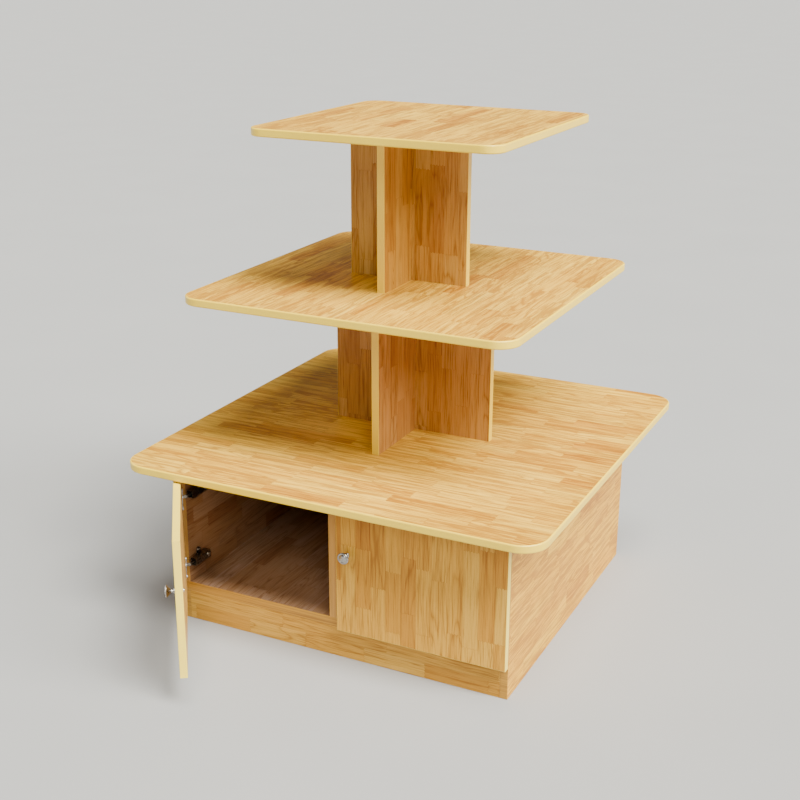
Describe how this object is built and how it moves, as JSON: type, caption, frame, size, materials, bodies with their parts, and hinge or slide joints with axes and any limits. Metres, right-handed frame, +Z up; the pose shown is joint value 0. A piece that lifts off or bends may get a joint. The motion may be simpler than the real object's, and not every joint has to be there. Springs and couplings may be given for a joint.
{
  "type": "display shelf",
  "caption": "Tiered island display shelf: square shelves on crossed-board posts above a base cabinet with hinged doors and round knobs.",
  "frame": {"origin": "on the floor under the centre of the lower shelf, on the bearer's foot", "axes": "+Z up, -Y towards the front with the doors, +X to the right seen from the front"},
  "size_m": [1, 1.2446, 1.14],
  "materials": {
    "strip_wood_along_x": "satin laminate printed with finger-jointed strips along X",
    "strip_wood_along_y": "satin laminate printed with finger-jointed strips along Y",
    "strip_wood_upright": "satin laminate printed with upright finger-jointed strips",
    "pale_edge_band": "soft-gloss pale yellow plastic edging",
    "beech_dowel": "raw turned hardwood",
    "chrome_knob": "polished plated metal",
    "dark_nickel": "dark plated pressed steel",
    "nickel_steel": "bright plated steel"
  },
  "bodies": {
    "cabinet": {"lower_shelf": "strip_wood_along_x", "lower_shelf_edge": "pale_edge_band", "middle_shelf": "strip_wood_along_y", "middle_shelf_edge": "pale_edge_band", "top_shelf": "strip_wood_along_y", "top_shelf_edge": "pale_edge_band", "lower_post_side_board": "strip_wood_upright", "lower_post_depth_board": "strip_wood_upright", "lower_post_edge_bands": "pale_edge_band", "upper_post_side_board": "strip_wood_upright", "upper_post_depth_board": "strip_wood_upright", "upper_post_edge_bands": "pale_edge_band", "left_side_panel": "strip_wood_along_y", "right_side_panel": "strip_wood_along_y", "back_panel": "strip_wood_along_y", "cabinet_floor": "strip_wood_along_y", "left_divider": "strip_wood_along_y", "right_divider": "strip_wood_along_y", "front_plinth": "strip_wood_along_x", "centre_bearer": "strip_wood_along_y", "front_rail": "strip_wood_along_x", "back_rail": "strip_wood_along_x", "cabinet_edge_bands": "pale_edge_band", "left_hinge_arms": "dark_nickel", "left_hinge_plates": "dark_nickel", "right_hinge_arms": "dark_nickel", "right_hinge_plates": "dark_nickel", "plate_screws": "nickel_steel", "arm_screws": "nickel_steel", "post_dowels": "beech_dowel", "post_screws": "nickel_steel", "panel_dowels": "beech_dowel", "cam_housings": "nickel_steel", "cam_bolts": "nickel_steel", "rail_screws": "nickel_steel"},
    "left_door": {"left_door": "strip_wood_upright", "left_door_edge_bands": "pale_edge_band", "left_knob": "chrome_knob", "left_knob_screw": "nickel_steel", "left_hinge_cups": "nickel_steel", "left_cup_screws": "nickel_steel", "left_cup_pins": "nickel_steel"},
    "left_links": {"left_hinge_links": "dark_nickel"},
    "right_door": {"right_door": "strip_wood_upright", "right_door_edge_bands": "pale_edge_band", "right_knob": "chrome_knob", "right_knob_screw": "nickel_steel", "right_hinge_cups": "nickel_steel", "right_cup_screws": "nickel_steel", "right_cup_pins": "nickel_steel"},
    "right_links": {"right_hinge_links": "dark_nickel"}
  },
  "joints": [
    {"name": "left_link_slide", "type": "slide", "parent": "cabinet", "child": "left_links", "axis": [0, -1, 0], "range_m": [-0.0136, 0.0111]},
    {"name": "left_door_hinge", "type": "hinge", "parent": "left_links", "child": "left_door", "pos_m": [-0.392, -0.42548, 0.232], "axis": [0, 0, -1], "range_deg": [-55, 45]},
    {"name": "right_link_slide", "type": "slide", "parent": "cabinet", "child": "right_links", "axis": [0, -1, 0], "range_m": [0, 0.0246]},
    {"name": "right_door_hinge", "type": "hinge", "parent": "right_links", "child": "right_door", "pos_m": [0.392, -0.412, 0.232], "axis": [0, 0, 1], "range_deg": [0, 100]}
  ],
  "couplings": [
    {"joint": "left_link_slide", "follows": "left_door_hinge", "m_per_rad": 0.014037},
    {"joint": "right_link_slide", "follows": "right_door_hinge", "m_per_rad": 0.014037}
  ]
}
